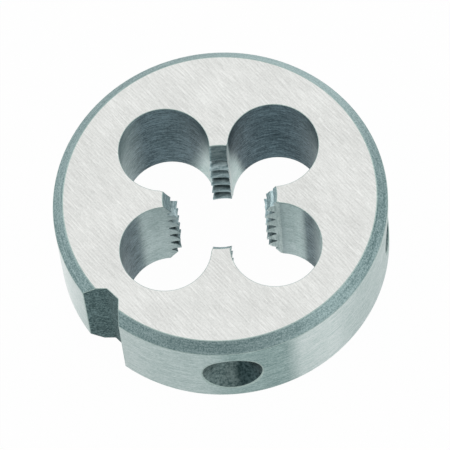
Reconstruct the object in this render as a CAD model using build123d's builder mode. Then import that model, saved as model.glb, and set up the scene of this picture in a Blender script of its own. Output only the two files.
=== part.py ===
"""Round threading die, M8 x 1.25, right hand: one solid piece of hardened tool steel.

A short turned cylinder with ground faces and a chamfer round both edges. Four chip
holes stand round the threaded bore and run into it, so that the thread is left only on
the four narrow lands between them: their toothed edges do the cutting. A cone at each
end of the bore leads the work in and bevels the first two teeth of every land. The rim
carries four conical seats for the set screws of a die stock, and one open notch.

The frame's origin is the centre of the bottom face, and +Z is the axis of the thread.
The lands lie on the X and Y axes, and the chip holes between them.
"""
from build123d import *
from math import radians, tan
import os

# Driving dimensions, in millimetres and degrees.
# The body: the standard 25 x 9 size for an M8 die.
die_diameter = 25.0
die_thickness = 9.0
edge_chamfer = 0.8

# The thread that the die cuts.
thread_diameter = 8.0
thread_pitch = 1.25
flank_half_angle = 30.0
tooth_height = 0.5413 * thread_pitch   # the standard depth of a metric inside thread
root_clearance = 0.05                  # the grooves stand clear of the screw's crest
groove_floor_width = thread_pitch / 8
groove_height = 0.245                  # of the first groove above the bottom, on -X

# The cone that leads the work in, the same at both ends of the bore.
lead_in_diameter = 8.5
lead_in_half_angle = 28.0

# The chip holes, and the lands that they leave between them. The clockwise side of each
# land is its cutting face, ground hollow by a small wheel.
land_count = 4
chip_hole_diameter = 6.8
chip_hole_circle_radius = 5.77
cutting_face_offset = 0.57             # from the land's middle to its hollow face
grinding_radius = 1.6
grinding_reach = 3.8                   # from the axis of the die to that of the wheel

# The notch through the rim, close to one chip hole: 45 degree flanks and a flat floor.
notch_angle = 223.2
notch_floor_radius = 11.05             # from the axis of the die to the notch's floor
notch_floor_width = 1.2
notch_corner_radius = 0.2

# The conical seats for the set screws, in two pairs that mirror across the notch's axis.
near_seat_offset = 49.0
far_seat_offset = 134.0
seat_diameter = 5.0
seat_half_angle = 45.0

# Sizes worked out from those above.
die_radius = die_diameter / 2
face_radius = die_radius - edge_chamfer
land_angle = 360 / land_count
crest_radius = thread_diameter / 2 - tooth_height
groove_depth = tooth_height + root_clearance
lead_in_radius = lead_in_diameter / 2
lead_in_depth = (lead_in_radius - crest_radius) / tan(radians(lead_in_half_angle))
seat_depth = seat_diameter / 2 / tan(radians(seat_half_angle))

# The cutter for one groove of one land: the gap between two teeth, swept along a short
# piece of the right-hand helix. It starts just inside the bore and is longer than the
# land is wide, so that it runs out into the chip holes at both ends.
inside = 0.1                           # how far the cutter starts inside the teeth
sweep_angle = 56.0                     # a land is about 30 degrees wide
mouth_width = groove_floor_width + 2 * (groove_depth + inside) * tan(radians(flank_half_angle))

with BuildPart() as groove:
    with BuildLine():
        helix = Helix(thread_pitch, thread_pitch * sweep_angle / 360, crest_radius)
    with BuildSketch(Plane(origin=helix @ 0, x_dir=(1, 0, 0), z_dir=helix % 0)):
        Polygon(
            (-inside, -mouth_width / 2),
            (groove_depth, -groove_floor_width / 2),
            (groove_depth, groove_floor_width / 2),
            (-inside, mouth_width / 2),
            align=None,
        )
    sweep(path=helix, is_frenet=True)

# Each land's grooves stand a pitch apart, and a quarter of a pitch higher than those of
# the land before it, because all of them lie on one helix.
groove_places = []
for land in range(land_count):
    turned = 180 + land * land_angle
    height = groove_height + thread_pitch * land / land_count - thread_pitch
    while height < die_thickness + thread_pitch / 2:
        start = height - thread_pitch * sweep_angle / 720
        groove_places.append(Location((0, 0, start), (0, 0, turned - sweep_angle / 2)))
        height += thread_pitch

with BuildPart() as threading_die:
    # The turned blank, from half of its section: bore, lead-in cones, faces, chamfers.
    with BuildSketch(Plane.XZ):
        with BuildLine():
            Polyline(
                (crest_radius, lead_in_depth),
                (lead_in_radius, 0),
                (face_radius, 0),
                (die_radius, edge_chamfer),
                (die_radius, die_thickness - edge_chamfer),
                (face_radius, die_thickness),
                (lead_in_radius, die_thickness),
                (crest_radius, die_thickness - lead_in_depth),
                close=True,
            )
        make_face()
    revolve(axis=Axis.Z)

    # The chip holes, which open into the bore.
    with BuildSketch(Plane.XY):
        with PolarLocations(chip_hole_circle_radius, land_count, land_angle / 2):
            Circle(chip_hole_diameter / 2)
    extrude(amount=die_thickness, mode=Mode.SUBTRACT)

    # The cutting faces, one on the clockwise side of every land.
    with BuildSketch(Plane.XY):
        with PolarLocations(0, land_count):
            with Locations((grinding_reach, -cutting_face_offset - grinding_radius)):
                Circle(grinding_radius)
    extrude(amount=die_thickness, mode=Mode.SUBTRACT)

    # The teeth: what the grooves leave standing on the lands.
    with Locations(*groove_places):
        add(groove.part, mode=Mode.SUBTRACT)

    # The notch, milled through the full thickness.
    notch_reach = die_radius - notch_floor_radius + 1
    with BuildSketch(Plane.XY.rotated((0, 0, notch_angle))):
        Polygon(
            (notch_floor_radius, -notch_floor_width / 2),
            (notch_floor_radius + notch_reach, -notch_floor_width / 2 - notch_reach),
            (notch_floor_radius + notch_reach, notch_floor_width / 2 + notch_reach),
            (notch_floor_radius, notch_floor_width / 2),
            align=None,
        )
        corners = vertices().sort_by(SortBy.DISTANCE)[:2]
        fillet(corners, notch_corner_radius)
    extrude(amount=die_thickness, mode=Mode.SUBTRACT)

    # The set-screw seats: cones that point at the axis, at half the thickness.
    seat_tips = Plane.XY.offset(die_thickness / 2)
    for offset in (near_seat_offset, far_seat_offset, -far_seat_offset, -near_seat_offset):
        with Locations(seat_tips):
            with PolarLocations(die_radius - seat_depth, 1, notch_angle + offset):
                Cone(
                    bottom_radius=0,
                    top_radius=seat_diameter,
                    height=seat_diameter / tan(radians(seat_half_angle)),
                    rotation=(0, 90, 0),
                    align=(Align.CENTER, Align.CENTER, Align.MIN),
                    mode=Mode.SUBTRACT,
                )

threading_die.part.label = "threading_die"
os.makedirs("parts", exist_ok=True)
export_step(threading_die.part, "parts/threading_die.step")
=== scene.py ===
# %% [markdown]
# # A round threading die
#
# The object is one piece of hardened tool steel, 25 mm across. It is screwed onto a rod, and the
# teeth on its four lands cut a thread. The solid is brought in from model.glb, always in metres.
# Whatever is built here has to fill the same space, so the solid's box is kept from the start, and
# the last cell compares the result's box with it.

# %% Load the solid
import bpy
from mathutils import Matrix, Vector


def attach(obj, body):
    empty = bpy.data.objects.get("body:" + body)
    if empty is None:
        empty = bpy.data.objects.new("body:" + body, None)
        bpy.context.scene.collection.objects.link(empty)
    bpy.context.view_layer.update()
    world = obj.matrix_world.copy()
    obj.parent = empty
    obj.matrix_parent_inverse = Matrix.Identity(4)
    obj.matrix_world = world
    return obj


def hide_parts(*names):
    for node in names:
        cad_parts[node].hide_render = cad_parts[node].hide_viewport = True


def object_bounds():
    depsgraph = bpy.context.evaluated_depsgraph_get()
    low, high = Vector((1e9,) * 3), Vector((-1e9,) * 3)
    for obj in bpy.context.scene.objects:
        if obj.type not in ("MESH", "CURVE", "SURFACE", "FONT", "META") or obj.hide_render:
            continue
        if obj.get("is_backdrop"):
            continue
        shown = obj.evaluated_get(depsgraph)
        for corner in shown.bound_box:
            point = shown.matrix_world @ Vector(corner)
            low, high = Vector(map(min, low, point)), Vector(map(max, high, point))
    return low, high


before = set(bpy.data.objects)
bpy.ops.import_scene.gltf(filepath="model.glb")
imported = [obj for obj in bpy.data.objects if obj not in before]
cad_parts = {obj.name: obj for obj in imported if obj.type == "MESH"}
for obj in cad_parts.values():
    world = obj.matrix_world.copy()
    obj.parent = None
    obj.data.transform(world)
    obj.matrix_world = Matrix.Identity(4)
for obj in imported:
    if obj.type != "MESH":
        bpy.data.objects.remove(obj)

cad_box = [list(map(float, corner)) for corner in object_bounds()]
print("the solid's box in metres:", cad_box)

# %% Tools for the lesson
import bmesh
import bpy
import numpy as np
from math import cos, radians, sin, tan
from mathutils import Matrix, Vector

scene = bpy.context.scene
MM = 0.001
print("Blender", bpy.app.version_string)

# %% [markdown]
# ## The camera
#
# A small object looks truest from far away through a long lens, which keeps its circles close to
# true ellipses. The camera looks down on the die from in front, 65 degrees above the bench, and
# is rolled by a few degrees. It could be dragged into place by hand, but here it is worked out
# from three angles, so that each of them can be changed alone: one unit vector points from the
# die to the camera, and the other two are the picture's right and up.

# %% Place the camera
camera_height = radians(64.635)
camera_side = radians(4.65)
camera_roll = radians(-6.576)
camera_distance = 300.84 * MM
aim_to_the_right = 0.4064 * MM
aim_below = 2.1065 * MM
top_middle = Vector((0.0, 0.0, 9.0 * MM))

back = Vector((sin(camera_side) * cos(camera_height), -cos(camera_side) * cos(camera_height),
               sin(camera_height)))
level = Vector((cos(camera_side), sin(camera_side), 0.0))
upright = back.cross(level)
right = cos(camera_roll) * level + sin(camera_roll) * upright
up = cos(camera_roll) * upright - sin(camera_roll) * level
target = top_middle + aim_to_the_right * right - aim_below * up
place = target + camera_distance * back

lens = bpy.data.cameras.new("bench_camera")
lens.lens = 324.03
lens.sensor_width = 36.0
lens.clip_start = 0.01
camera = bpy.data.objects.new("bench_camera", lens)
scene.collection.objects.link(camera)
camera.matrix_world = Matrix((
    (right.x, up.x, back.x, place.x),
    (right.y, up.y, back.y, place.y),
    (right.z, up.z, back.z, place.z),
    (0.0, 0.0, 0.0, 1.0),
))
scene.camera = camera
print("camera", round(place.length / MM), "mm from the die")

# %% [markdown]
# ## The sizes
#
# These are the sizes of the solid, in millimetres and degrees. Angles count from +X, except those
# of the screw seats, which count from the notch. A thread is a groove that rises by one pitch for
# each turn. Its flanks meet at 60 degrees, and its floor is an eighth of a pitch wide. On a real
# die a tap cuts that groove first, the chip holes are drilled through it, and a small wheel then
# grinds one side of each land hollow, which gives the teeth their cutting edges. A seat is a cone
# of 90 degrees, so its tip lies as far below the rim as its mouth reaches to each side. Across
# the die the rim curves away, and there the mouth is a little narrower.

# %% Write down the sizes
DIE_RADIUS = 12.5
THICKNESS = 9.0
CHAMFER = 0.8
FACE_RADIUS = DIE_RADIUS - CHAMFER

PITCH = 1.25
THREAD_RADIUS = 4.0
THREAD_DEPTH = 0.5413 * PITCH
CREST_RADIUS = THREAD_RADIUS - THREAD_DEPTH
GROOVE_DEPTH = THREAD_DEPTH + 0.05
GROOVE_HEIGHT = 0.245
FLANK_SLOPE = tan(radians(30))
HALF_FLOOR = PITCH / 16
HALF_MOUTH = HALF_FLOOR + GROOVE_DEPTH * FLANK_SLOPE
LEAD_IN_RADIUS = 4.25
LEAD_IN_SLOPE = tan(radians(28))

HOLE_RADIUS = 3.4
HOLE_DISTANCE = 5.77
WHEEL_RADIUS = 1.6
WHEEL_X = 3.8
WHEEL_TOP = -0.57
WHEEL_Y = WHEEL_TOP - WHEEL_RADIUS

NOTCH_ANGLE = 223.2
NOTCH_FLOOR = 11.05
NOTCH_HALF_FLOOR = 0.6
NOTCH_FILLET = 0.2
SEAT_ANGLES = (49.0, 134.0, 226.0, 311.0)
SEAT_RADIUS = 2.5
SEAT_HALF_MOUTH = 2.289
SEAT_TIP = DIE_RADIUS - SEAT_RADIUS

EDGE = 0.045
print("tooth crests", round(CREST_RADIUS, 3), "mm from the axis")

# %% [markdown]
# ## One finish for each way of cutting
#
# Each surface of the die was made by another tool, and looks different for it. The surfaces get
# their finish by number while they are built, so the list of finishes comes first.

# %% Name the finishes
FINISHES = ["ground_face", "dark_chamfer", "turned_rim", "drilled_wall", "hollow_ground",
            "cut_thread", "milled_notch", "drilled_seat", "broken_edge"]
finish_number = {name: number for number, name in enumerate(FINISHES)}
print(len(FINISHES), "finishes")

# %% [markdown]
# ## The wall inside: teeth, cutting faces and chip holes
#
# Seen from above, the opening is a clover leaf. Going round it, every quarter has three strips:
# the hollow-ground cutting face, the toothed land and the wall of a chip hole. The wall could be
# cut with booleans, as the solid was, but then nothing says which triangle was made by which
# tool, and no edge can be softened. Here it is one grid. Its columns go round the clover leaf and
# its rows follow the thread, so each row stays on one flank, one crest or one groove floor from
# end to end. A row is named by its phase, which is the height that it would have at 0 degrees.

# %% Rows that follow the thread
GROOVES = 9
FLANK_ROWS = 6
one_groove = np.concatenate([
    [-PITCH / 2],
    np.linspace(-HALF_MOUTH, -HALF_FLOOR, FLANK_ROWS),
    [0.0],
    np.linspace(HALF_FLOOR, HALF_MOUTH, FLANK_ROWS),
])
groove_phase = GROOVE_HEIGHT - PITCH / 2
thread_phases = (groove_phase + PITCH * np.arange(GROOVES)[:, None] + one_groove).ravel()

# Phases far beyond the faces stand for rows that end up on a face or just inside it. Three rows
# at each end hold the sharp edge to the flat face, until it is softened.
ON_FACE = 99.0
BY_FACE = 98.0
phases = np.concatenate([[-ON_FACE] * 3, [-BY_FACE], thread_phases, [BY_FACE], [ON_FACE] * 3])
lowest = np.where(np.abs(phases) < ON_FACE, EDGE, 0.0)
highest = THICKNESS - lowest
print(len(phases), "rows")

# %% The radius of the toothed land
def height_at(phase, angle):
    """A row's height is its phase plus a pitch for each turn, kept between the two faces."""
    return np.clip(phase + PITCH * angle / 360, lowest, highest)


def land_radius(phase, height):
    """The crest radius, plus the groove's depth at this distance from the groove's middle; the
    lead-in cone cuts off whatever is nearer to the axis than the cone is at this height."""
    from_groove = np.abs((phase - groove_phase + PITCH / 2) % PITCH - PITCH / 2)
    depth = np.clip((HALF_MOUTH - from_groove) / FLANK_SLOPE, 0.0, GROOVE_DEPTH)
    from_face = np.minimum(height, THICKNESS - height)
    return np.maximum(CREST_RADIUS + depth, LEAD_IN_RADIUS - from_face * LEAD_IN_SLOPE)


ROUNDS = 5


def land_edge(turn, centre, radius, side):
    """Where a land ends on a circle: the angle at which a point of the land's radius is as far
    from the circle's centre as the circle's radius, by the law of cosines. The radius depends on
    the height and the height on the angle, so the two are worked out in turns."""
    distance = np.hypot(*centre)
    angle = np.zeros_like(phases)
    for step in range(ROUNDS):
        height = height_at(phases, turn + angle)
        reach = land_radius(phases, height)
        cosine = (reach ** 2 + distance ** 2 - radius ** 2) / (2 * reach * distance)
        angle = np.degrees(np.arctan2(centre[1], centre[0]) + side * np.arccos(cosine))
    return angle, height, reach


def polar(radius, angle, centre=(0.0, 0.0)):
    """A point of a circle: the centre plus the radius times the cosine and sine of the angle."""
    angle = np.radians(angle)
    return np.stack([centre[0] + radius * np.cos(angle), centre[1] + radius * np.sin(angle)], -1)


def angle_seen_from(centre, points):
    """The angle, in degrees, of the line from the centre to each point."""
    return np.degrees(np.arctan2(points[..., 1] - centre[1], points[..., 0] - centre[0]))


print("groove bottoms", round(CREST_RADIUS + GROOVE_DEPTH, 3), "mm from the axis")

# %% [markdown]
# A cutting face is hollow, because the wheel that grinds it is round. Seen from above it is a
# piece of the wheel's circle: it begins where that circle crosses the chip hole's, and it ends at
# the teeth.

# %% Where the cutting faces begin
wheel_centre = (WHEEL_X, WHEEL_Y)
hole_centre = tuple(polar(HOLE_DISTANCE, 45.0))
hole_before = tuple(polar(HOLE_DISTANCE, -45.0))


def circles_meet(first, first_radius, second, second_radius):
    """The two points where circles cross: along the line of centres, then square to it."""
    first, second = np.array(first), np.array(second)
    gap = np.hypot(*(second - first))
    along = (gap ** 2 + first_radius ** 2 - second_radius ** 2) / (2 * gap)
    across = np.sqrt(first_radius ** 2 - along ** 2)
    unit = (second - first) / gap
    square = np.array([-unit[1], unit[0]])
    return first + along * unit + across * square, first + along * unit - across * square


corner = max(circles_meet(hole_before, HOLE_RADIUS, wheel_centre, WHEEL_RADIUS),
             key=lambda point: point[0])
corner_on_wheel = float(angle_seen_from(wheel_centre, corner))
corner_on_hole = float(angle_seen_from(hole_before, corner)) + 90
print("cutting faces begin", round(float(np.hypot(*corner)), 2), "mm from the axis")

# %% [markdown]
# Each strip is worked out for the land on +X and then turned. A strip's first and last columns
# are zigzags where they border on teeth, because the teeth end there. The columns between them
# share out that zigzag evenly, and as they stay on the same cylinder, its shape isn't changed.

# %% The three strips of a quarter
CUTTING_FACE_COLUMNS = 6
LAND_COLUMNS = 9
HOLE_COLUMNS = 47


def turned(flat, angle):
    """Points turned about the axis: each new coordinate mixes the old two by cosine and sine."""
    c, s = cos(radians(angle)), sin(radians(angle))
    return flat @ np.array([[c, s], [-s, c]])


def quarter(land):
    """The columns of one quarter: three strips, each with its finish and its places, which run
    over columns and then rows."""
    turn = 90.0 * land
    cut_angle, cut_height, cut_reach = land_edge(turn, wheel_centre, WHEEL_RADIUS, 1)
    heel_angle, heel_height, heel_reach = land_edge(turn, hole_centre, HOLE_RADIUS, -1)
    next_turn = (turn + 90.0) % 360.0
    next_height = land_edge(next_turn, wheel_centre, WHEEL_RADIUS, 1)[1]

    # The cutting face, from the chip hole before the land to the teeth.
    share = np.linspace(0, 1, CUTTING_FACE_COLUMNS)[:, None]
    cut_on_wheel = angle_seen_from(wheel_centre, polar(cut_reach, cut_angle))
    on_wheel = corner_on_wheel + share * (cut_on_wheel - corner_on_wheel)
    cutting_face = polar(WHEEL_RADIUS, on_wheel, wheel_centre)
    cutting_heights = np.broadcast_to(cut_height, on_wheel.shape)

    # The toothed land.
    share = np.linspace(0, 1, LAND_COLUMNS)[:, None]
    on_land = cut_angle + share * (heel_angle - cut_angle)
    land_heights = height_at(phases, turn + on_land)
    teeth = polar(land_radius(phases, land_heights), on_land)

    # The wall of the chip hole, round to the next cutting face.
    share = np.linspace(0, 1, HOLE_COLUMNS)[:, None]
    heel_on_hole = angle_seen_from(hole_centre, polar(heel_reach, heel_angle))
    on_hole = heel_on_hole + share * (corner_on_hole - heel_on_hole)
    hole_wall = polar(HOLE_RADIUS, on_hole, hole_centre)
    hole_heights = heel_height + share * (next_height - heel_height)

    strips = []
    for name, flat, heights in (("hollow_ground", cutting_face, cutting_heights),
                                ("cut_thread", teeth, land_heights),
                                ("drilled_wall", hole_wall, hole_heights)):
        strips.append((name, np.concatenate([turned(flat, turn), heights[..., None]], axis=-1)))
    return strips


strips = [strip for land in range(4) for strip in quarter(land)]
print(len(strips), "strips go round the inner wall")

# %% [markdown]
# ## Softened edges
#
# No edge of a real part is perfectly sharp, and the thin bright line on a broken edge is what
# tells the eye that it is steel. A bevel modifier could cut the edges, but it is easily upset by
# the thin triangles round the teeth. Instead each edge is held by five rows: one on each side of
# it and three on the edge itself, which then move onto a small parabola between the outer two.

# %% Soften a group of five rows or columns
def soften(grid, middles):
    """The middle three of five places become points of the parabola that starts at the first of
    them, ends at the last and is pulled towards the corner between them."""
    middles = np.asarray(middles)
    start, tip, end = grid[middles - 2].copy(), grid[middles].copy(), grid[middles + 2].copy()
    for step, t in ((-1, 0.25), (0, 0.5), (1, 0.75)):
        grid[middles + step] = (1 - t) ** 2 * start + 2 * t * (1 - t) * tip + t ** 2 * end


def shelf(outline, side):
    """The outline moved a little way into the steel, along the flat face: square to the line from
    the point before to the point after."""
    tangent = np.roll(outline, -1, axis=0) - np.roll(outline, 1, axis=0)
    square = np.stack([-tangent[:, 1], tangent[:, 0], 0 * tangent[:, 0]], axis=-1)
    return outline + side * EDGE * square / np.linalg.norm(square, axis=-1, keepdims=True)


print("a broken edge reaches", EDGE, "mm to either side")

# %% Put the inner wall together
wall = np.concatenate([places[:-1] for name, places in strips])
inner = np.concatenate([shelf(wall[:, 0], -1)[:, None], wall, shelf(wall[:, -1], -1)[:, None]], 1)
soften(inner.swapaxes(0, 1), [2, -3])

inner_finish = np.repeat([finish_number[name] for name, places in strips],
                         [len(places) - 1 for name, places in strips])
inner_finish = np.repeat(inner_finish[:, None], inner.shape[1] - 1, axis=1)
inner_finish[:, :4] = finish_number["broken_edge"]
inner_finish[:, -4:] = finish_number["broken_edge"]
print("inner wall:", inner.shape[0], "columns by", inner.shape[1], "rows")

# %% [markdown]
# ## The outside: chamfers, rim, notch and screw seats
#
# The outside is a second grid. Its rows climb the section from the lower face over both chamfers
# to the upper face, and its columns go round, along the floor and flanks of the notch too. A
# row's radius says where the notch's mouth is, so the mouth's edge follows the chamfer exactly.
# Here too, three rows or columns in one place are an edge that is softened later. The seats take
# up the middle of the rim, so their rows and columns come first.

# %% Rows and columns of a seat
# The rings of a seat are sizes from 0 at its middle to 1 at the border of its square patch. The
# mouth is the ring SEAT_EDGE, and its edge is rounded from the ring before it to the ring after.
SEAT_EDGE = 0.8
SEAT_ROUNDING = 0.02
seat_rings = np.array([0.2, 0.4, 0.6, 0.78, 0.79, 0.8, 0.81, 0.82, 1.0])
across_seat = np.concatenate([-seat_rings[::-1], [0.0], seat_rings])
inside_mouth = slice(5, -5)
SEAT_HALF_HEIGHT = SEAT_RADIUS / SEAT_EDGE
SEAT_HALF_WIDTH = SEAT_HALF_MOUTH / SEAT_EDGE
print("a seat takes", len(across_seat), "rows and columns")

# %% Rows of the outside
slope = EDGE * cos(radians(45))
chamfer_share = np.linspace(0, 1, 4)
lower_radii = np.concatenate([
    [FACE_RADIUS] * 4,
    FACE_RADIUS + slope + chamfer_share * (CHAMFER - 2 * slope),
    [DIE_RADIUS] * 4,
])
lower_heights = np.concatenate([
    [0.0] * 4,
    slope + chamfer_share * (CHAMFER - 2 * slope),
    [CHAMFER] * 3,
    [CHAMFER + EDGE],
])
middle_heights = THICKNESS / 2 + across_seat * SEAT_HALF_HEIGHT
section_radii = np.concatenate([
    lower_radii,
    np.full(len(across_seat), DIE_RADIUS),
    lower_radii[::-1],
])
section_heights = np.concatenate([lower_heights, middle_heights, THICKNESS - lower_heights[::-1]])
print("section of the outside:", len(section_radii), "rows")

# %% Columns of the outside
def notch_mouth(radius):
    """Where the 45 degree flank crosses a circle: x squared plus y squared is the radius squared,
    and y is x less a constant, which makes a quadratic equation for x."""
    offset = NOTCH_FLOOR - NOTCH_HALF_FLOOR
    x = (offset + np.sqrt(2 * radius ** 2 - offset ** 2)) / 2
    return x, x - offset


def notch_columns(radius):
    """Half of the notch, from the middle of its floor to its mouth: half of the flat floor, the
    rounding that turns it by 45 degrees, the flank, then the mouth's corner three times."""
    mouth_x, mouth_y = notch_mouth(radius)
    ones = np.ones_like(radius)
    tangent = NOTCH_HALF_FLOOR - NOTCH_FILLET * tan(radians(22.5))
    floor_y = np.linspace(0, tangent, 4)[1:-1, None] * ones
    round_angle = np.linspace(180, 135, 5)[:, None] * ones
    rounding = polar(NOTCH_FILLET, round_angle, (NOTCH_FLOOR + NOTCH_FILLET, tangent))
    flank_end = np.stack([mouth_x - slope, mouth_y - slope], -1)
    share = np.linspace(0, 1, 5)[1:, None, None]
    flank = rounding[-1] + share * (flank_end - rounding[-1])
    mouth = np.broadcast_to(np.stack([mouth_x, mouth_y], -1), (3,) + flank_end.shape)
    floor = np.stack([NOTCH_FLOOR + 0 * floor_y, floor_y], -1)
    return np.concatenate([floor, rounding, flank, mouth])


RIM_STEP = 3.0


def outside_columns(radius):
    """All columns for the given row radii, in the notch's own directions: x points out through
    the notch. First round the rim, in steps of at most RIM_STEP degrees between the seats, then
    through the notch from its far mouth to its near one."""
    mouth_x, mouth_y = notch_mouth(radius)
    first = np.degrees(np.arctan2(mouth_y, mouth_x) + EDGE / radius)
    seat_half = np.degrees(np.arcsin(SEAT_HALF_WIDTH / DIE_RADIUS))
    across = np.degrees(np.arcsin(across_seat * SEAT_HALF_WIDTH / DIE_RADIUS))
    ends = [first] + [a + side * seat_half + 0 * radius for a in SEAT_ANGLES for side in (-1, 1)]
    ends.append(360 - first)
    angles, is_seat = [], []
    for number, (start, end) in enumerate(zip(ends[:-1], ends[1:])):
        if number % 2:
            angles.append(SEAT_ANGLES[number // 2] + across[:-1, None] + 0 * radius)
        else:
            steps = int(np.ceil(np.mean(end - start) / RIM_STEP))
            angles.append(start + np.arange(steps)[:, None] / steps * (end - start))
        is_seat += [number // 2 if number % 2 else -1] * len(angles[-1])
    angles.append(ends[-1][None])
    is_seat.append(-1)
    rim = polar(radius, np.concatenate(angles))
    half = notch_columns(radius)
    floor_middle = np.stack([NOTCH_FLOOR + 0 * radius, 0 * radius], -1)[None]
    notch = np.concatenate([half[::-1] * [1, -1], floor_middle, half])
    return np.concatenate([rim, notch]), np.array(is_seat), len(half)


outside_flat, seat_of_column, half_notch = outside_columns(section_radii)
rim_count = len(seat_of_column)
print("outside:", len(outside_flat), "columns, of which", 2 * half_notch + 1, "cross the notch")

# %% [markdown]
# The set screws have cone points, and each seat is a drilled cone that fits one. On the grid a
# seat is a square patch whose rings are pulled into circles. Inside the mouth a ring lies on the
# cone, and outside it the rings go back to the patch's square border on the rim.

# %% The patch of one seat
def seat_patch():
    """For each place of the patch: how far along the rim and up from the seat's middle it is, and
    how far out from the die's axis. On the cone it is as far out as the tip, plus the ring's
    radius. The mouth is where that meets the rim's cylinder, a quadratic equation again."""
    a, b = np.meshgrid(across_seat, across_seat, indexing="ij")
    ring = np.maximum(np.maximum(np.abs(a), np.abs(b)), 1e-9)
    reach = np.maximum(np.hypot(a, b), 1e-9)
    c, s = a / reach, b / reach
    square = 1 + c ** 2
    root = np.sqrt(SEAT_TIP ** 2 + (DIE_RADIUS ** 2 - SEAT_TIP ** 2) * square)
    mouth = (root - SEAT_TIP) / square

    def on_cone(size):
        return np.stack([size * mouth * c, size * mouth * s, SEAT_TIP + size * mouth], -1)

    def on_rim(share):
        along = (1 - share) * mouth * c + share * a / ring * SEAT_HALF_WIDTH
        rise = (1 - share) * mouth * s + share * b / ring * SEAT_HALF_HEIGHT
        return np.stack([along, rise, np.sqrt(DIE_RADIUS ** 2 - along ** 2)], -1)

    def inside(at):
        return on_cone(at / SEAT_EDGE)

    def around(at):
        return on_rim(np.maximum(at - SEAT_EDGE, 0) / (1 - SEAT_EDGE))

    t = ((ring - SEAT_EDGE + SEAT_ROUNDING) / (2 * SEAT_ROUNDING))[..., None]
    edge = ((1 - t) ** 2 * inside(SEAT_EDGE - SEAT_ROUNDING) + 2 * t * (1 - t) * inside(SEAT_EDGE)
            + t ** 2 * around(SEAT_EDGE + SEAT_ROUNDING))
    return np.where(t < 0, inside(ring), np.where(t > 1, around(ring), edge))


patch = seat_patch()
print("seat patch:", patch.shape[0], "by", patch.shape[1])

# %% Round the outside's edges
# The grid closes on itself, so for the notch's second corner its first column is added behind the
# last one for a moment.
levels = np.broadcast_to(section_heights, outside_flat.shape[:2])
outer = np.concatenate([outside_flat, levels[..., None]], axis=-1)
soften(outer, [rim_count + 1])
wrapped = np.concatenate([outer, outer[:1]])
soften(wrapped, [-3])
outer = wrapped[:-1]
outer[:, 0] = shelf(outer[:, 1], 1)
outer[:, -1] = shelf(outer[:, -2], 1)
edge_rows = [2, 9, -10, -3]
soften(outer.swapaxes(0, 1), edge_rows)
print(len(edge_rows), "edges go round the die")

# %% Finishes of the outside, row by row
half_section = ["broken_edge"] * 4 + ["dark_chamfer"] * 3 + ["broken_edge"] * 4
rim_rows = outer.shape[1] - 1 - 2 * len(half_section)
section = half_section + ["turned_rim"] * rim_rows + half_section[::-1]
outer_finish = np.tile([finish_number[name] for name in section], (len(outer), 1))
outer_finish[rim_count - 1:, 4:-4] = finish_number["milled_notch"]
for corner_start in (rim_count - 1, len(outer) - 4):
    outer_finish[corner_start:corner_start + 4] = finish_number["broken_edge"]
print(rim_rows, "rows of faces on the rim")

# %% Set the seats in
first_row = len(lower_radii)
seat_rows = slice(first_row, first_row + len(across_seat))
seat_face_rows = slice(first_row, first_row + len(across_seat) - 1)
seat_starts = [int(np.flatnonzero(seat_of_column == seat)[0]) for seat in range(len(SEAT_ANGLES))]
for start, seat_angle in zip(seat_starts, SEAT_ANGLES):
    radial = turned(patch[..., [2, 0]], seat_angle)
    rise = patch[..., 1:2] + THICKNESS / 2
    outer[start:start + len(across_seat), seat_rows] = np.concatenate([radial, rise], axis=-1)
    rings = outer_finish[start:start + len(across_seat) - 1, seat_face_rows]
    rings[1:-1, 1:-1] = finish_number["broken_edge"]
    rings[inside_mouth, inside_mouth] = finish_number["drilled_seat"]

outer[..., :2] = turned(outer[..., :2], NOTCH_ANGLE)
print("outside:", outer.shape[0], "columns by", outer.shape[1], "rows")

# %% [markdown]
# ## Painted light and shade on the steel
#
# The steel isn't equally light all round, and most of that is painted light: where smooth steel
# would mirror its bright surroundings or lie in shade, that is written into its colour. Each chip
# hole has a short table: angles seen from the hole's own middle, and how much painted reflection
# the wall gets there, from 0 to 1, where 0 leaves it in painted shade. The rim and the chamfers
# have a table each. On the rim the light is partly rubbed wear and partly a painted reflection, on
# the chamfers it is a painted reflection, and a table keeps both in their places from every side.
#
# It could be painted by hand, but a table of a few numbers is easier to change. The values are
# kept at every point as an attribute, which the finishes read.

# %% Tables round the holes, the rim and the chamfers
# Painted light on each chip hole's wall, by angle round the hole: 1 is a painted reflection, 0
# painted shade.
WALL_PAINTED_LIGHT = (
    ((-82, 0.6), (-15, 0.5), (10, 0.34), (40, 0.04), (60, 0.0), (178, 0.0), (194, 0.95),
     (262, 1.0)),
    ((-15, 1.0), (6, 0.95), (16, 0.35), (27, 0.05), (120, 0.03), (155, 0.35), (190, 0.7),
     (262, 0.8)),
    ((74, 0.5), (95, 0.66), (121, 0.66), (131, 0.12), (150, 0.05), (185, 0.15), (352, 0.8)),
    ((166, 0.8), (370, 0.8), (380, 0.45), (400, 0.05), (408, 0.07), (417, 0.75), (452, 0.45)),
)
# How much further round each hole's painted light reaches lower down, before and after its middle.
BAND_LEAN = ((0.0, 6.5), (4.5, 1.5), (0.0, 0.0), (0.0, 0.0))
# The rim: partly rubbed wear and partly a painted reflection, by angle round the die.
RIM_WEAR_AND_PAINTED_LIGHT = ((0, 0.4), (140, 0.46), (186, 1.0), (198, 1.0), (216, 0.5), (264, 0.3), (272, 0.02),
             (291, 0.0), (297, 0.58), (310, 0.66), (322, 0.42), (360, 0.4))
# The chamfers: a painted reflection, by angle round the die.
CHAMFER_PAINTED_LIGHT = ((0, 0.1), (12, 0.2), (45, 0.95), (80, 0.95), (105, 0.45), (200, 0.3),
                 (230, 0.35), (270, 0.2), (300, 0.5), (320, 0.4), (345, 0.05), (360, 0.1))
LEAN_REACH = 60


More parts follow.
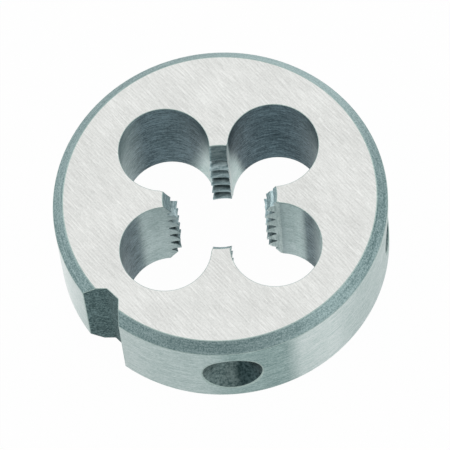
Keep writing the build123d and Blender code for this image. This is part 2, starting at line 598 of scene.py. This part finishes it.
def look_up(angle, table, lean=(0.0, 0.0), depth=0.0):
    """Values between the table's places are worked out along straight lines. An angle is turned
    by whole turns until it lies within the table. Lower down a hole's wall, its painted light
    reaches further round: the lean is in degrees for each millimetre of depth, for the table's
    first and last half, and it grows from nothing at the table's middle to all of it at
    LEAN_REACH degrees from there."""
    angles, values = zip(*table)
    middle = (angles[0] + angles[-1]) / 2
    from_middle = (angle - middle + 180) % 360 - 180
    share = np.clip(np.abs(from_middle) / LEAN_REACH, 0, 1)
    growth = np.where(from_middle > 0, lean[1], -lean[0]) * share
    return np.interp(middle + from_middle + growth * depth, angles, values)


print("the rim is brightest at", max(RIM_WEAR_AND_PAINTED_LIGHT, key=lambda entry: entry[1])[0], "degrees")

# %% [markdown]
# One half of each seat gets painted light, and the other half is left in painted shade. One flank
# of the notch gets painted light, with the rounding at its foot, and the rest of the notch is
# dark.

# %% Painted light and wear outside
NOTCH_FLANK_COLUMNS = 12
around = angle_seen_from((0.0, 0.0), outer)
on_chamfer = np.abs(outer[..., 2] - THICKNESS / 2) > THICKNESS / 2 - CHAMFER
outer_painted_light_and_wear = np.where(on_chamfer, look_up(around, CHAMFER_PAINTED_LIGHT), look_up(around, RIM_WEAR_AND_PAINTED_LIGHT))
# Painted light on one half of each seat, painted shade on the other half.
for start in seat_starts:
    rings = outer_painted_light_and_wear[start:start + len(across_seat), seat_rows]
    rings[inside_mouth, inside_mouth] = (across_seat[inside_mouth] <= 0)[:, None]
# Painted light on one flank of the notch only.
outer_painted_light_and_wear[rim_count:] = 0.0
outer_painted_light_and_wear[-NOTCH_FLANK_COLUMNS:] = 1.0
print("mean brightness of the outside:", round(float(outer_painted_light_and_wear.mean()), 2))

# %% [markdown]
# Each cutting face has one value of painted light, so that some lands are lit more than others.
# The thread of a land has three: for its crests and lead-in cones, which get a painted highlight,
# for its first tooth, which starts the cut, and for the groove bottoms, which are left in painted
# shade. How far the painted light reaches down from a crest depends on the depth below the top
# face: further near the top, less deeper down.

# %% Painted light inside
# Painted light of each land's cutting face and thread: some lands are painted lighter than others.
CUTTING_FACE_PAINTED_LIGHT = (0.4, 1.0, 0.5, 0.4)
THREAD_PAINTED_LIGHT = ((1.0, 1.0, 0.25), (0.7, 0.42, 0.08), (0.75, 0.8, 0.0), (1.0, 1.0, 0.0))
PAINTED_LIGHT_DEPTHS = (1.5, 4.5)
PAINTED_LIGHT_REACH = (0.72, 0.22)
FIRST_TOOTH_ENDS = (1.0, 1.4)


def thread_light_and_shade(teeth, crests, first_tooth, grooves):
    """From the painted highlight on a crest down to the painted shade of the grooves, along a
    straight line over the light's reach. Every depth between two given ones is worked out along a
    line too."""
    depth = THICKNESS - teeth[..., 2]
    from_face = np.minimum(teeth[..., 2], depth)
    crest = np.maximum(CREST_RADIUS, LEAD_IN_RADIUS - from_face * LEAD_IN_SLOPE)
    below_crest = np.hypot(teeth[..., 0], teeth[..., 1]) - crest
    share = np.clip(below_crest / np.interp(depth, PAINTED_LIGHT_DEPTHS, PAINTED_LIGHT_REACH), 0, 1)
    brightest = np.interp(depth, FIRST_TOOTH_ENDS, (first_tooth, crests))
    return brightest + (grooves - brightest) * share


inner_painted_light = []
for land in range(4):
    face, teeth, hole_wall = (places[:-1] for name, places in strips[3 * land:3 * land + 3])
    around = angle_seen_from(polar(HOLE_DISTANCE, 90.0 * land + 45.0), hole_wall)
    depth = THICKNESS - hole_wall[..., 2]
    inner_painted_light.append(np.full(face.shape[:2], CUTTING_FACE_PAINTED_LIGHT[land]))
    inner_painted_light.append(thread_light_and_shade(teeth, *THREAD_PAINTED_LIGHT[land]))
    inner_painted_light.append(look_up(around, WALL_PAINTED_LIGHT[land], BAND_LEAN[land], depth))
inner_painted_light = np.pad(np.concatenate(inner_painted_light), ((0, 0), (1, 1)), mode="edge")
all_painted_light_and_wear = np.concatenate([outer_painted_light_and_wear.ravel(), inner_painted_light.ravel()])
print("mean brightness of the inner wall:", round(float(inner_painted_light.mean()), 2))

# %% [markdown]
# ## From grids to one closed body
#
# Each grid becomes four-sided faces between neighbouring columns and rows. Where rows run into a
# flat face, their places coincide, so merging doubles turns those faces into triangles or drops
# them. What is left open are two rings, one at each end, and they are flat, so the fill tool can
# close them without any shape to work out. A closed body has a volume: it is compared with that
# of the solid, which shows at once whether something is inside out or missing.

# %% Faces of a grid
def grid_faces(columns, rows, outwards):
    """Corner numbers of every face: a column, the next one, and the same pair a row higher. The
    last column joins the first. The order is turned round for a wall that faces the axis."""
    column, row = np.meshgrid(np.arange(columns), np.arange(rows - 1), indexing="ij")
    after = (column + 1) % columns
    faces = np.stack([column * rows + row, after * rows + row,
                      after * rows + row + 1, column * rows + row + 1], axis=-1).reshape(-1, 4)
    return faces if outwards else faces[:, ::-1]


print("a ring of 3 columns and 3 rows has", len(grid_faces(3, 3, True)), "faces")

# %% Make the mesh
outer_faces = grid_faces(*outer.shape[:2], True)
inner_faces = grid_faces(*inner.shape[:2], False) + outer.shape[0] * outer.shape[1]
places = np.concatenate([outer.reshape(-1, 3), inner.reshape(-1, 3)]) * MM
mesh = bpy.data.meshes.new("die_body")
mesh.from_pydata(places.tolist(), [], np.concatenate([outer_faces, inner_faces]).tolist())
mesh.polygons.foreach_set("material_index",
                          np.concatenate([outer_finish.ravel(), inner_finish.ravel()]))
# Painted light, and on the rim some wear, kept at every point for the finishes.
mesh.attributes.new("painted_light_and_wear", "FLOAT", "POINT").data.foreach_set("value", all_painted_light_and_wear)
print(len(mesh.vertices), "points in two grids")

# %% Close it into one body
SAME_PLACE = 2e-7
body = bmesh.new()
body.from_mesh(mesh)
for face in body.faces:
    face.smooth = True
bmesh.ops.remove_doubles(body, verts=body.verts, dist=SAME_PLACE)
open_edges = [edge for edge in body.edges if edge.is_boundary]
for at_top in (False, True):
    ring = [e for e in open_edges if (e.verts[0].co.z > THICKNESS * MM / 2) == at_top]
    filled = bmesh.ops.triangle_fill(body, edges=ring, use_beauty=True)
    for face in filled["geom"]:
        if isinstance(face, bmesh.types.BMFace):
            face.material_index = finish_number["ground_face"]
            face.smooth = False
bmesh.ops.recalc_face_normals(body, faces=body.faces)
volume = body.calc_volume() / MM ** 3
open_left = sum(not edge.is_manifold for edge in body.edges)
body.to_mesh(mesh)
body.free()
print(len(mesh.polygons), "faces,", open_left, "edges not closed")

# %% Compare its volume with the solid's
solid = bmesh.new()
solid.from_mesh(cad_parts["threading_die"].data)
solid_volume = solid.calc_volume() / MM ** 3
solid.free()
print("volume", round(volume, 1), "cubic mm; the solid's", round(solid_volume, 1))

# %% [markdown]
# Smooth shading would make the ground faces look like pillows, and flat shading would show every
# small face of the walls. So edges sharper than an angle are kept sharp, and everywhere else the
# larger faces have the say in how the light falls.

# %% Shade it and put it in the solid's place
SHARP_ANGLE = 28
mesh.set_sharp_from_angle(angle=radians(SHARP_ANGLE))
die = bpy.data.objects.new("round_threading_die", mesh)
scene.collection.objects.link(die)
weighted = die.modifiers.new("flat faces stay flat", "WEIGHTED_NORMAL")
weighted.keep_sharp = True
weighted.weight = 100
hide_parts("threading_die")
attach(die, "root")
print("sharp edges:", sum(edge.use_edge_sharp for edge in mesh.edges))

# %% [markdown]
# ## Nodes for tool marks
#
# All the finishes are steel, and they differ in which way the tool ran, how coarse its marks are
# and how dark the steel was left. So one node group works out four patterns from a place in
# millimetres, and every finish mixes them in its own way: marks are noise squeezed along the
# tool's path, which gives long thin lines, bands are slow changes, and speckle is fine grain.
# Scratches are the tops of a thinner noise, so only a few single lines are left of it.
# Painting lines on a picture would need the surface to be unwrapped; noise in space doesn't.

# %% A helper for nodes
def node(tree, kind, inputs=None, **settings):
    """Adds one node, and gives each named input either a value or a link from a socket."""
    added = tree.nodes.new(kind)
    for name, value in settings.items():
        setattr(added, name, value)
    for name, value in (inputs or {}).items():
        if isinstance(value, bpy.types.NodeSocket):
            tree.links.new(value, added.inputs[name])
        else:
            added.inputs[name].default_value = value
    return added


def math_node(tree, operation, first, second):
    """One sum on two values, each of them a number or a socket."""
    return node(tree, "ShaderNodeMath", {0: first, 1: second}, operation=operation).outputs[0]


print("helpers:", node.__name__, "and", math_node.__name__)

# %% The group of tool marks
THINNER = 1.7
marks_group = bpy.data.node_groups.new("tool_marks", "ShaderNodeTree")
for name, kind, direction in (
        ("Place", "NodeSocketVector", "INPUT"), ("Squeeze", "NodeSocketVector", "INPUT"),
        ("Grain", "NodeSocketFloat", "INPUT"), ("Marks", "NodeSocketFloat", "OUTPUT"),
        ("Bands", "NodeSocketFloat", "OUTPUT"), ("Speckle", "NodeSocketFloat", "OUTPUT"),
        ("Scratches", "NodeSocketFloat", "OUTPUT")):
    marks_group.interface.new_socket(name, in_out=direction, socket_type=kind)
enter = node(marks_group, "NodeGroupInput").outputs
leave = node(marks_group, "NodeGroupOutput").inputs
squeezed = node(marks_group, "ShaderNodeVectorMath", {0: enter["Place"], 1: enter["Squeeze"]},
                operation="MULTIPLY").outputs[0]
fine = node(marks_group, "ShaderNodeTexNoise", {
    "Vector": squeezed, "Scale": 1.0, "Detail": 3.0, "Roughness": 0.65}).outputs[0]
slow = node(marks_group, "ShaderNodeTexNoise", {
    "Vector": enter["Place"], "Scale": 0.3, "Detail": 2.0, "Roughness": 0.5}).outputs[0]
grainy = node(marks_group, "ShaderNodeTexNoise", {
    "Vector": enter["Place"], "Scale": enter["Grain"], "Detail": 2.0, "Roughness": 0.6}).outputs[0]
thinner = node(marks_group, "ShaderNodeVectorMath", {0: squeezed, 1: (THINNER,) * 3},
               operation="MULTIPLY").outputs[0]
rare = node(marks_group, "ShaderNodeTexNoise", {
    "Vector": thinner, "Scale": 1.0, "Detail": 1.0, "Distortion": 0.3}).outputs[0]
for name, value, low, high in (("Marks", fine, 0.3, 0.7), ("Bands", slow, 0.3, 0.7),
                               ("Speckle", grainy, 0.3, 0.7), ("Scratches", rare, 0.6, 0.8)):
    spread = node(marks_group, "ShaderNodeMapRange", {
        "Value": value, "From Min": low, "From Max": high}, clamp=True).outputs[0]
    marks_group.links.new(spread, leave[name])
print("tool marks:", len(marks_group.nodes), "nodes")

# %% [markdown]
# ## One recipe for all finishes
#
# A finish is a dark and a light shade of steel, and the four patterns say where between them each
# spot lies. The same mix sets how rough the spot is and, very slightly, its height, so that the
# lines catch the light as well as show in the colour. Gloss stays with the shader itself. The
# squeeze says roughly how many lines fit on a millimetre along X, Y and Z: where only the last
# number is large they run round and round, as a lathe or a drill leaves them.

# %% The recipe
COLOUR_A = 6
COLOUR_B = 7
COLOUR_OUT = 2
BUMP_HEIGHT = 0.01 * MM


def two_shades(tree, mix, dark, light):
    """The colour that lies between a dark and a light shade, as far along as the mix says."""
    return node(tree, "ShaderNodeMix", {
        "Factor": mix, COLOUR_A: (*dark, 1.0), COLOUR_B: (*light, 1.0)},
        data_type="RGBA").outputs[COLOUR_OUT]


def make_finish(name, dark, light, lit_and_worn_shades=None, marks=0.5, bands=0.2, speckle=0.2, scratches=0.0,
                squeeze=(1.0, 1.0, 1.0), grain=7.0, turn=0.0, smooth=0.3, rough=0.45, relief=0.1):
    """The mix is a half, plus each pattern's distance from a half times its share. Where the
    attribute of painted light and wear is high, the two lighter shades take the place of the plain
    ones."""
    finish = bpy.data.materials.new(name)
    finish.use_nodes = True
    tree = finish.node_tree
    shader = tree.nodes["Principled BSDF"]
    place = node(tree, "ShaderNodeTexCoord").outputs["Object"]
    turned_place = node(tree, "ShaderNodeMapping", {
        "Vector": place, "Rotation": (0.0, 0.0, radians(turn)), "Scale": (1 / MM,) * 3})
    patterns = node(tree, "ShaderNodeGroup", node_tree=marks_group)
    tree.links.new(turned_place.outputs[0], patterns.inputs["Place"])
    patterns.inputs["Squeeze"].default_value = squeeze
    patterns.inputs["Grain"].default_value = grain
    mix = 0.5 - 0.5 * (marks + bands + speckle)
    for pattern, share in (("Marks", marks), ("Bands", bands), ("Speckle", speckle),
                           ("Scratches", scratches)):
        part = math_node(tree, "MULTIPLY", patterns.outputs[pattern], share)
        mix = math_node(tree, "ADD", part, mix)
    mix = node(tree, "ShaderNodeClamp", {"Value": mix}).outputs[0]
    colour = two_shades(tree, mix, dark, light)
    # Painted light: the lighter shades stand in for reflections and light, on the rim partly for
    # wear.
    if lit_and_worn_shades:
        painted_light_and_wear = node(tree, "ShaderNodeAttribute", attribute_name="painted_light_and_wear").outputs["Fac"]
        colour = node(tree, "ShaderNodeMix", {
            "Factor": painted_light_and_wear, COLOUR_A: colour, COLOUR_B: two_shades(tree, mix, *lit_and_worn_shades)},
            data_type="RGBA").outputs[COLOUR_OUT]
    roughness = node(tree, "ShaderNodeMapRange", {
        "Value": mix, "To Min": rough, "To Max": smooth}).outputs[0]
    bump = node(tree, "ShaderNodeBump", {
        "Height": mix, "Strength": relief, "Distance": BUMP_HEIGHT}).outputs[0]
    tree.links.new(colour, shader.inputs["Base Color"])
    tree.links.new(roughness, shader.inputs["Roughness"])
    tree.links.new(bump, shader.inputs["Normal"])
    shader.inputs["Metallic"].default_value = 1.0
    mesh.materials.append(finish)
    print("finish", name)


print("each finish is one call of", make_finish.__name__)

# %% [markdown]
# The two flat faces were ground last, on a machine that moves to and fro. Its fine lines all run
# one way, slanting across the die, and a few deeper scratches cross the light steel.

# %% Flat faces, ground in one direction
make_finish("ground_face", (0.60, 0.61, 0.592), (0.90, 0.912, 0.89), marks=0.65, bands=0.2,
            speckle=0.35, scratches=0.55, squeeze=(0.65, 8.5, 1.0), turn=50.0, smooth=0.3,
            rough=0.42, relief=0.35)

# %% [markdown]
# The chamfers were turned before the steel was hardened, and nothing has ground them since. They
# keep the dark skin of hardening, so strong fine grain is mixed with the lathe's lines. Their
# lighter second shades are a painted reflection, where the chamfer's table says.

# %% Chamfers, left as they came from hardening
# The second pair of shades is a painted reflection.
make_finish("dark_chamfer", (0.095, 0.17, 0.175), (0.33, 0.445, 0.45),
            lit_and_worn_shades=((0.33, 0.45, 0.455), (0.49, 0.635, 0.63)), marks=0.75, bands=0.1, speckle=1.3,
            squeeze=(0.3, 0.3, 9.0), grain=9.0, smooth=0.4, rough=0.55, relief=0.4)

# %% [markdown]
# The rim was turned too, but it slides in and out of the die holder, so it is lighter and cleaner
# than the chamfers. Long lines run round it. Its much lighter second shades are partly rubbed wear
# and partly a painted reflection.

# %% The rim, turned
# The second pair of shades: partly wear, partly a painted reflection.
make_finish("turned_rim", (0.17, 0.28, 0.274), (0.385, 0.525, 0.51),
            lit_and_worn_shades=((0.75, 0.88, 0.85), (0.97, 1.0, 1.0)), marks=1.3, bands=0.2, speckle=0.7,
            squeeze=(0.8, 0.8, 12.0), grain=6.0, smooth=0.32, rough=0.45, relief=0.2)

# %% [markdown]
# A chip hole's wall shows the rings of its drill. Its nearly black plain shades are painted shade,
# and its almost white second shades a painted reflection. One finish does both: the attribute
# leads from the plain shades to the lighter ones, so there is no seam between them.

# %% Chip holes, in painted shade and painted reflection
# Plain shades: painted shade. Second shades: painted reflection.
make_finish("drilled_wall", (0.012, 0.045, 0.06), (0.128, 0.213, 0.25),
            lit_and_worn_shades=((0.55, 0.72, 0.70), (0.84, 0.97, 0.95)), marks=1.0, bands=0.3, speckle=0.6,
            squeeze=(1.3, 1.3, 9.0), smooth=0.32, rough=0.48, relief=0.5)

# %% [markdown]
# The small wheel that grinds a cutting face is moved up and down in the hole, so its lines run
# that way, and the squeeze is large along X and Y. The thread is rougher. Its nearly black plain
# shades are painted shade in the grooves, and its light second shades a painted highlight on the
# crests. A cutting face's second shades are painted light, more on some lands than on others.

# %% Cutting faces and teeth
# Second shades: painted light on each land's cutting face.
make_finish("hollow_ground", (0.2, 0.29, 0.285), (0.42, 0.54, 0.53),
            lit_and_worn_shades=((0.54, 0.66, 0.65), (0.9, 0.98, 0.97)), marks=0.8, bands=0.1, speckle=0.5,
            squeeze=(7.0, 7.0, 0.9), smooth=0.35, rough=0.5, relief=0.4)
# Plain shades: painted shade in the grooves. Second shades: painted highlight on the crests.
make_finish("cut_thread", (0.01, 0.02, 0.022), (0.045, 0.07, 0.075),
            lit_and_worn_shades=((0.36, 0.50, 0.53), (0.80, 0.98, 1.0)), marks=1.3, bands=0.1, speckle=0.6,
            squeeze=(1.2, 1.2, 8.0), grain=5.0, smooth=0.5, rough=0.65, relief=0.5)

# %% [markdown]
# Notch and seats were cut before hardening and are seldom touched, so they are the darkest places
# outside. Their lighter second shades are painted light, on one flank of the notch and on one half
# of each seat. The broken edges are between light and dark: a thin line of them is enough to show.

# %% Notch, seats and edges
# Second shades: painted light on one flank of the notch.
make_finish("milled_notch", (0.025, 0.068, 0.07), (0.165, 0.265, 0.27),
            lit_and_worn_shades=((0.06, 0.12, 0.125), (0.28, 0.41, 0.415)), marks=0.6, bands=0.1, speckle=1.1,
            squeeze=(1.5, 1.5, 8.0), smooth=0.5, rough=0.65, relief=0.5)
# Second shades: painted light on one half of each seat.
make_finish("drilled_seat", (0.01, 0.03, 0.032), (0.07, 0.115, 0.12),
            lit_and_worn_shades=((0.06, 0.105, 0.105), (0.215, 0.29, 0.285)), marks=0.4, bands=0.3, speckle=1.1,
            squeeze=(3.0, 3.0, 3.0), grain=5.0, smooth=0.4, rough=0.55, relief=0.5)
make_finish("broken_edge", (0.32, 0.42, 0.40), (0.52, 0.65, 0.62), marks=0.3, bands=0.3,
            speckle=0.6, squeeze=(1.2, 1.2, 11.0), smooth=0.45, rough=0.6, relief=0.2)

# %% [markdown]
# ## Bench and light
#
# The die lies on a pale bench in a light tent, so that the steel has something white to mirror.
# Lamps alone would leave metal black between their reflections. The bench takes the die's shadow,
# and Light Path tells its material who is looking: the camera sees it nearly white, and for
# mirrored rays white is mixed in too. The tent is the world: white all round and above for the
# camera, and for the steel greyer towards the front, which gives the front its darker tone.

# %% The bench
BENCH_SEEN = 0.98
BENCH_MIRRORED = 0.64
BENCH_HALF = 0.6
bench_mesh = bpy.data.meshes.new("bench")
corners = [(x * BENCH_HALF, y * BENCH_HALF, 0) for x, y in ((-1, -1), (1, -1), (1, 1), (-1, 1))]
bench_mesh.from_pydata(corners, [], [(0, 1, 2, 3)])
bench = bpy.data.objects.new("bench", bench_mesh)
scene.collection.objects.link(bench)
bench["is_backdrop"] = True
pale = bpy.data.materials.new("pale_bench")
pale.use_nodes = True
tree = pale.node_tree
tree.nodes.clear()
rays = node(tree, "ShaderNodeLightPath").outputs
diffuse = node(tree, "ShaderNodeBsdfDiffuse", {"Color": (0.85, 0.85, 0.85, 1.0)}).outputs[0]
white = node(tree, "ShaderNodeEmission", {"Color": (1.0, 1.0, 1.0, 1.0)}).outputs[0]
mirrored = math_node(tree, "MAXIMUM", rays["Is Glossy Ray"], rays["Is Transmission Ray"])
for_mirrors = math_node(tree, "MULTIPLY", mirrored, BENCH_MIRRORED)
for_camera = math_node(tree, "MULTIPLY", rays["Is Camera Ray"], BENCH_SEEN)
share = math_node(tree, "MAXIMUM", for_camera, for_mirrors)
surface = node(tree, "ShaderNodeMixShader", {0: share, 1: diffuse, 2: white}).outputs[0]
node(tree, "ShaderNodeOutputMaterial", {"Surface": surface})
bench_mesh.materials.append(pale)
print("bench:", 2 * BENCH_HALF, "m wide")

# %% The tent
TENT_LIGHT = 0.75
TENT_MIRRORED_MORE = 0.25
world = bpy.data.worlds.new("light_tent")
scene.world = world
world.use_nodes = True
tree = world.node_tree
tree.nodes.clear()
rays = node(tree, "ShaderNodeLightPath").outputs
direction = node(tree, "ShaderNodeSeparateXYZ", {
    0: node(tree, "ShaderNodeTexCoord").outputs["Generated"]}).outputs
towards_front = node(tree, "ShaderNodeMapRange", {
    "Value": direction["Y"], "From Min": -0.1, "From Max": -0.9, "To Min": 1.0, "To Max": 0.55},
    interpolation_type="SMOOTHSTEP").outputs[0]
mirrored = math_node(tree, "MAXIMUM", rays["Is Glossy Ray"], rays["Is Transmission Ray"])
more = math_node(tree, "MULTIPLY", mirrored, TENT_MIRRORED_MORE)
strength = math_node(tree, "ADD", more, TENT_LIGHT)
tent = node(tree, "ShaderNodeBackground", {
    "Color": towards_front, "Strength": strength}).outputs[0]
white = node(tree, "ShaderNodeBackground", {"Color": (1.0, 1.0, 1.0, 1.0)}).outputs[0]
seen = node(tree, "ShaderNodeMixShader", {0: rays["Is Camera Ray"], 1: tent, 2: white}).outputs[0]
node(tree, "ShaderNodeOutputWorld", {"Surface": seen})
print("tent:", len(tree.nodes), "nodes")

# %% [markdown]
# An all-round light alone looks flat, so three weak lamps stand round the die too. They only add
# a little shape, as strong ones would burn the pale faces out.

# %% The lamps
def soft_box(name, place, size, power):
    """A square lamp that faces the die from its place in millimetres."""
    lamp = bpy.data.lights.new(name, "AREA")
    lamp.size = size * MM
    lamp.energy = power
    holder = bpy.data.objects.new(name, lamp)
    holder.location = Vector(place) * MM
    holder.rotation_euler = Vector(place).to_track_quat("Z", "Y").to_euler()
    scene.collection.objects.link(holder)
    print("lamp", name, power, "W")


soft_box("back_left_box", (-150, 80, 140), 130, 0.015)
soft_box("back_right_box", (145, 90, 140), 110, 0.012)
soft_box("front_right_box", (130, -110, 90), 110, 0.015)

# %% [markdown]
# ## Check and hand over
#
# The standard view shows colours as they are written. Last come both boxes, the solid's from the
# start and the one of all that stands in its place now, so that the two can be compared.

# %% Finish
scene.view_settings.view_transform = "Standard"
visual_box = [list(map(float, corner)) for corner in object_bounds()]
print("the finished box in metres:", visual_box)
difference = float(np.abs(np.subtract(visual_box, cad_box)).max()) / MM
print("largest difference between the boxes:", round(difference, 4), "mm")
